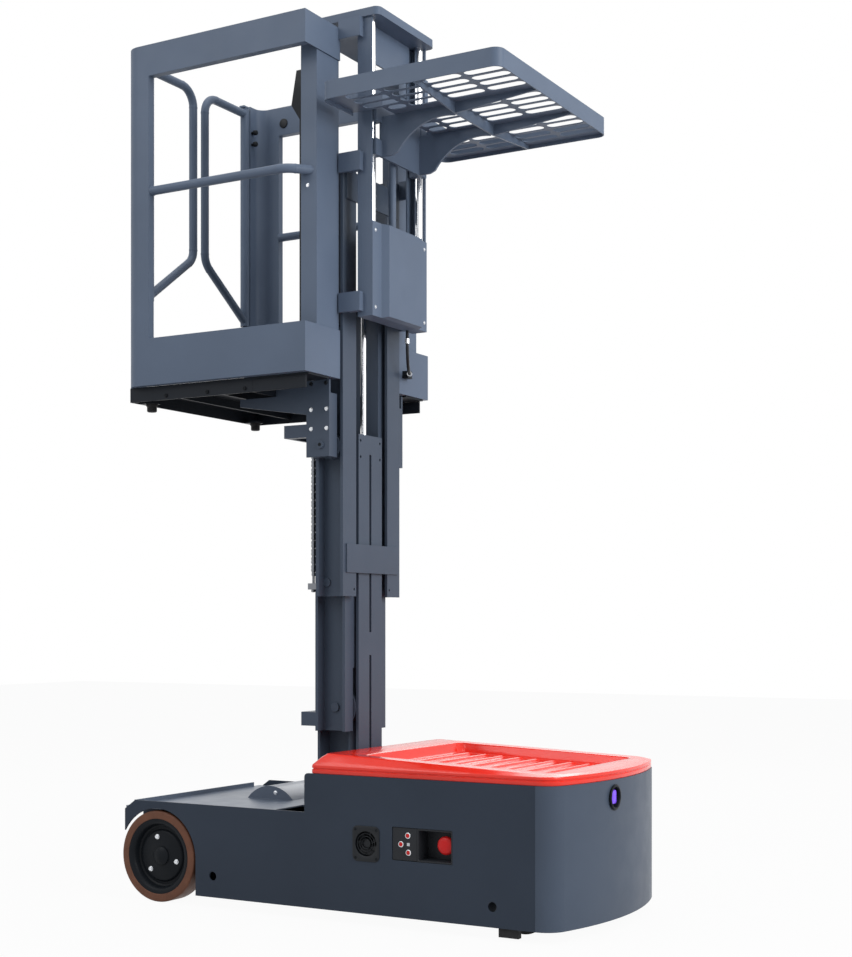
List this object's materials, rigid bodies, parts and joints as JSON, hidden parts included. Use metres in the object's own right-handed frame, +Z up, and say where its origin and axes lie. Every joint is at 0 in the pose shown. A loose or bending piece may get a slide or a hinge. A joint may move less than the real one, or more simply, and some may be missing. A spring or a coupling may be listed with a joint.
{
  "type": "order picker truck",
  "caption": "Battery order picker: low drive chassis, telescopic mast, standing platform with inward gates and a lifting slotted load tray.",
  "frame": {"origin": "on the floor, under the middle of the truck's plan outline", "axes": "+X towards the battery box and its rounded nose, -X towards the operator's entrance; the controls, fan and stop knob are on the -Y side; +Z up"},
  "size_m": [1.601, 0.75, 2.78],
  "materials": {
    "paint": "satin",
    "paint_light": "satin",
    "black_steel": "satin",
    "black_plastic": "matte",
    "red_panel": "gloss",
    "wheel_tread": "satin",
    "chrome_rod": "polished",
    "zinc": "brushed"
  },
  "bodies": {
    "chassis": {"side_plate_near": "paint", "side_plate_far": "paint", "nose_shell": "paint", "underframe": "paint", "deck": "paint_light", "battery_block": "black_steel", "red_cover": "red_panel", "drive_units": "black_steel", "castor_bridges": "paint", "mast_stage1": "paint", "lift_cylinders": "black_steel", "fan_grille": "black_plastic", "button_panel": "black_plastic", "emergency_stop": "red_panel", "spot_lamp": "black_plastic", "tipping_feet": "black_steel"},
    "drive_wheel_near": {"drive_tyre_near": "wheel_tread", "drive_hub_near": "black_steel"},
    "drive_wheel_far": {"drive_tyre_far": "wheel_tread", "drive_hub_far": "black_steel"},
    "castor_fork_near": {"castor_fork_near": "zinc"},
    "castor_wheel_near": {"castor_wheel_near": "wheel_tread"},
    "castor_fork_far": {"castor_fork_far": "zinc"},
    "castor_wheel_far": {"castor_wheel_far": "wheel_tread"},
    "middle_stage": {"mast_stage2": "paint", "lift_rods": "chrome_rod"},
    "outer_stage": {"mast_stage3": "paint", "lift_chains": "zinc"},
    "carriage": {"carriage_frame": "paint", "platform_floor": "black_steel", "cab_panel_near": "paint", "cab_panel_far": "paint", "cab_columns": "paint_light", "handrail_near": "paint", "handrail_far": "paint", "front_posts": "paint", "crown": "paint", "control_housing": "paint_light", "tray_cable": "black_plastic", "operator_console": "black_plastic"},
    "gate_near": {"gate_near": "paint"},
    "gate_far": {"gate_far": "paint"},
    "load_tray": {"load_tray": "paint_light", "tray_carrier": "paint"}
  },
  "joints": [
    {"name": "drive_spin_near", "type": "hinge", "parent": "chassis", "child": "drive_wheel_near", "pos_m": [-0.655, -0.331, 0.145], "axis": [0, 1, 0], "continuous": true},
    {"name": "drive_spin_far", "type": "hinge", "parent": "chassis", "child": "drive_wheel_far", "pos_m": [-0.655, 0.331, 0.145], "axis": [0, 1, 0], "continuous": true},
    {"name": "castor_swivel_near", "type": "hinge", "parent": "chassis", "child": "castor_fork_near", "pos_m": [0.62, -0.232, 0.195], "axis": [0, 0, 1], "continuous": true},
    {"name": "castor_spin_near", "type": "hinge", "parent": "castor_fork_near", "child": "castor_wheel_near", "pos_m": [0.585, -0.232, 0.075], "axis": [0, 1, 0], "continuous": true},
    {"name": "castor_swivel_far", "type": "hinge", "parent": "chassis", "child": "castor_fork_far", "pos_m": [0.62, 0.232, 0.195], "axis": [0, 0, 1], "continuous": true},
    {"name": "castor_spin_far", "type": "hinge", "parent": "castor_fork_far", "child": "castor_wheel_far", "pos_m": [0.585, 0.232, 0.075], "axis": [0, 1, 0], "continuous": true},
    {"name": "mast_lift", "type": "slide", "parent": "chassis", "child": "middle_stage", "axis": [0, 0, 1], "range_m": [-0.4, 0.5]},
    {"name": "outer_lift", "type": "slide", "parent": "middle_stage", "child": "outer_stage", "axis": [0, 0, 1], "range_m": [-0.4, 0.5]},
    {"name": "carriage_lift", "type": "slide", "parent": "outer_stage", "child": "carriage", "axis": [0, 0, 1], "range_m": [-0.4, 0.5]},
    {"name": "gate_swing_near", "type": "hinge", "parent": "carriage", "child": "gate_near", "pos_m": [-0.778, -0.262, 2.33], "axis": [0, 0, 1], "range_deg": [-90, 0]},
    {"name": "gate_swing_far", "type": "hinge", "parent": "carriage", "child": "gate_far", "pos_m": [-0.778, 0.262, 2.33], "axis": [0, 0, 1], "range_deg": [0, 90]},
    {"name": "tray_lift", "type": "slide", "parent": "carriage", "child": "load_tray", "axis": [0, 0, 1], "range_m": [-0.1, 0.12]}
  ],
  "couplings": [
    {"joint": "outer_lift", "follows": "mast_lift", "ratio": 1},
    {"joint": "carriage_lift", "follows": "mast_lift", "ratio": 1}
  ]
}
